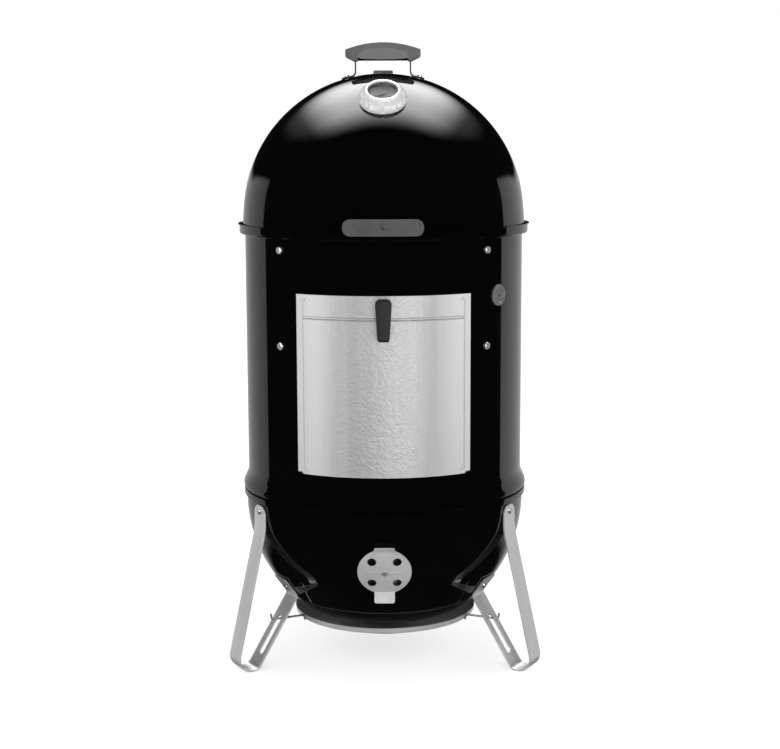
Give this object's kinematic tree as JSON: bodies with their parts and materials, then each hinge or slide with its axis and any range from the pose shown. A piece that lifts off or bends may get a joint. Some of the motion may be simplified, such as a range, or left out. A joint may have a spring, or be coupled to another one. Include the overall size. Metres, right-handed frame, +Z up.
{
  "type": "vertical water smoker",
  "caption": "Upright charcoal smoker: a domed lid and a tall drum with a tilting side door stand on a bowl with bent strap legs, turning vents, grates and a water pan.",
  "frame": {"origin": "the point on the ground on the smoker's vertical axis, in the middle of its three feet", "axes": "+Z up along the axis of the lid, drum and bowl; the door and the thermometer face -Y; +X is to the right seen from the front"},
  "size_m": [0.6146, 0.6446, 1.222],
  "materials": {
    "bezel_chrome": "polished",
    "black_enamel": "glossy porcelain enamel",
    "bracket_steel": "zinc plated",
    "bracket_steel_bright": "satin",
    "damper_aluminium": "satin",
    "dial_face": "printed",
    "door_aluminium": "hammered",
    "fastener_steel": "bright",
    "gauge_steel": "satin",
    "grate_iron": "bare steel rod",
    "grip_nylon": "fine grained",
    "grommet_silicone": "matt",
    "hook_steel": "zinc plated",
    "insert_nylon": "fine grained",
    "latch_nylon": "fine grained",
    "lens_glass": "clear",
    "needle_black": "satin",
    "pan_enamel": "glossy speckled enamel",
    "plated_wire": "plated rod",
    "ring_steel": "bare rolled sheet",
    "rivet_aluminium": "satin",
    "shield_aluminium": "satin",
    "strap_aluminium": "satin",
    "wire_steel": "plated wire"
  },
  "bodies": {
    "bowl_vent_1": {"bowl_damper_1": "damper_aluminium"},
    "bowl_vent_2": {"bowl_damper_2": "damper_aluminium"},
    "bowl_vent_3": {"bowl_damper_3": "damper_aluminium"},
    "bowl": {"bowl_shell": "black_enamel", "charcoal_bracket_1": "bracket_steel", "charcoal_bracket_2": "bracket_steel", "charcoal_bracket_3": "bracket_steel", "damper_rivets": "rivet_aluminium", "heat_shield": "shield_aluminium", "heat_shield_wire_1": "wire_steel", "heat_shield_wire_2": "wire_steel", "heat_shield_wire_3": "wire_steel", "leg_1": "strap_aluminium", "leg_2": "strap_aluminium", "leg_3": "strap_aluminium", "leg_bolts": "fastener_steel", "leg_nuts": "fastener_steel"},
    "center": {"bracket_bolts": "fastener_steel", "bracket_nuts": "fastener_steel", "center_shell": "black_enamel", "grate_bracket_1": "bracket_steel", "grate_bracket_2": "bracket_steel", "grate_bracket_3": "bracket_steel", "grate_bracket_4": "bracket_steel", "probe_grommet": "grommet_silicone"},
    "fuel_grate": {"charcoal_grate": "grate_iron"},
    "fuel_ring": {"charcoal_ring": "ring_steel"},
    "door": {"door_hook_left": "hook_steel", "door_hook_right": "hook_steel", "door_panel": "door_aluminium", "door_rivets": "rivet_aluminium"},
    "lid": {"front_grip": "grip_nylon", "front_grip_nut": "fastener_steel", "front_grip_screw": "fastener_steel", "lid_handle_bolts": "fastener_steel", "lid_handle_bracket": "bracket_steel_bright", "lid_handle_grip": "grip_nylon", "lid_handle_insert": "insert_nylon", "lid_handle_nuts": "fastener_steel", "lid_handle_screws": "fastener_steel", "lid_shell": "black_enamel", "thermometer_bezel": "bezel_chrome", "thermometer_case": "gauge_steel", "thermometer_dial": "dial_face", "thermometer_lens": "lens_glass", "thermometer_nut": "gauge_steel", "thermometer_stem": "gauge_steel", "top_damper_rivet": "rivet_aluminium"},
    "latch": {"latch_handle": "latch_nylon", "latch_nut": "fastener_steel", "latch_shaft": "fastener_steel", "latch_tongue": "hook_steel"},
    "low_grate": {"lower_grate": "plated_wire"},
    "needle": {"thermometer_needle": "needle_black"},
    "lid_vent": {"top_damper": "damper_aluminium"},
    "top_grate": {"upper_grate": "plated_wire"},
    "pan": {"water_pan": "pan_enamel"}
  },
  "joints": [
    {"name": "center_lift", "type": "slide", "parent": "bowl", "child": "center", "axis": [0, 0, 1], "range_m": [0, 0.3]},
    {"name": "lid_lift", "type": "slide", "parent": "center", "child": "lid", "axis": [0, 0, 1], "range_m": [0, 0.35]},
    {"name": "door_tilt", "type": "hinge", "parent": "center", "child": "door", "pos_m": [0, -0.2775, 0.4104], "axis": [1, 0, 0], "range_deg": [0, 75]},
    {"name": "latch_turn", "type": "hinge", "parent": "door", "child": "latch", "pos_m": [0, -0.281, 0.7314], "axis": [0, -1, 0], "range_deg": [-90, 0]},
    {"name": "fuel_grate_lift", "type": "slide", "parent": "bowl", "child": "fuel_grate", "axis": [0, 0, 1], "range_m": [0, 0.07]},
    {"name": "fuel_ring_lift", "type": "slide", "parent": "fuel_grate", "child": "fuel_ring", "axis": [0, 0, 1], "range_m": [0, 0.07]},
    {"name": "pan_lift", "type": "slide", "parent": "center", "child": "pan", "axis": [0, 0, 1], "range_m": [0, 0.035]},
    {"name": "lower_grate_lift", "type": "slide", "parent": "center", "child": "low_grate", "axis": [0, 0, 1], "range_m": [0, 0.15]},
    {"name": "upper_grate_lift", "type": "slide", "parent": "center", "child": "top_grate", "axis": [0, 0, 1], "range_m": [0, 0.08]},
    {"name": "bowl_damper_1_turn", "type": "hinge", "parent": "bowl", "child": "bowl_vent_1", "pos_m": [0, -0.26111, 0.22369], "axis": [0, -0.9342, -0.3567], "range_deg": [0, 45]},
    {"name": "bowl_damper_2_turn", "type": "hinge", "parent": "bowl", "child": "bowl_vent_2", "pos_m": [0.22613, 0.13056, 0.22369], "axis": [0.809, 0.4671, -0.3567], "range_deg": [0, 45]},
    {"name": "bowl_damper_3_turn", "type": "hinge", "parent": "bowl", "child": "bowl_vent_3", "pos_m": [-0.22613, 0.13056, 0.22369], "axis": [-0.809, 0.4671, -0.3567], "range_deg": [0, 45]},
    {"name": "top_damper_turn", "type": "hinge", "parent": "lid", "child": "lid_vent", "pos_m": [0, 0.10008, 1.14356], "axis": [0, 0.36, 0.933], "range_deg": [0, 45]},
    {"name": "needle_turn", "type": "hinge", "parent": "lid", "child": "needle", "pos_m": [0, -0.17005, 1.11911], "axis": [0, 0.5864, -0.81], "range_deg": [0, 240]}
  ]
}
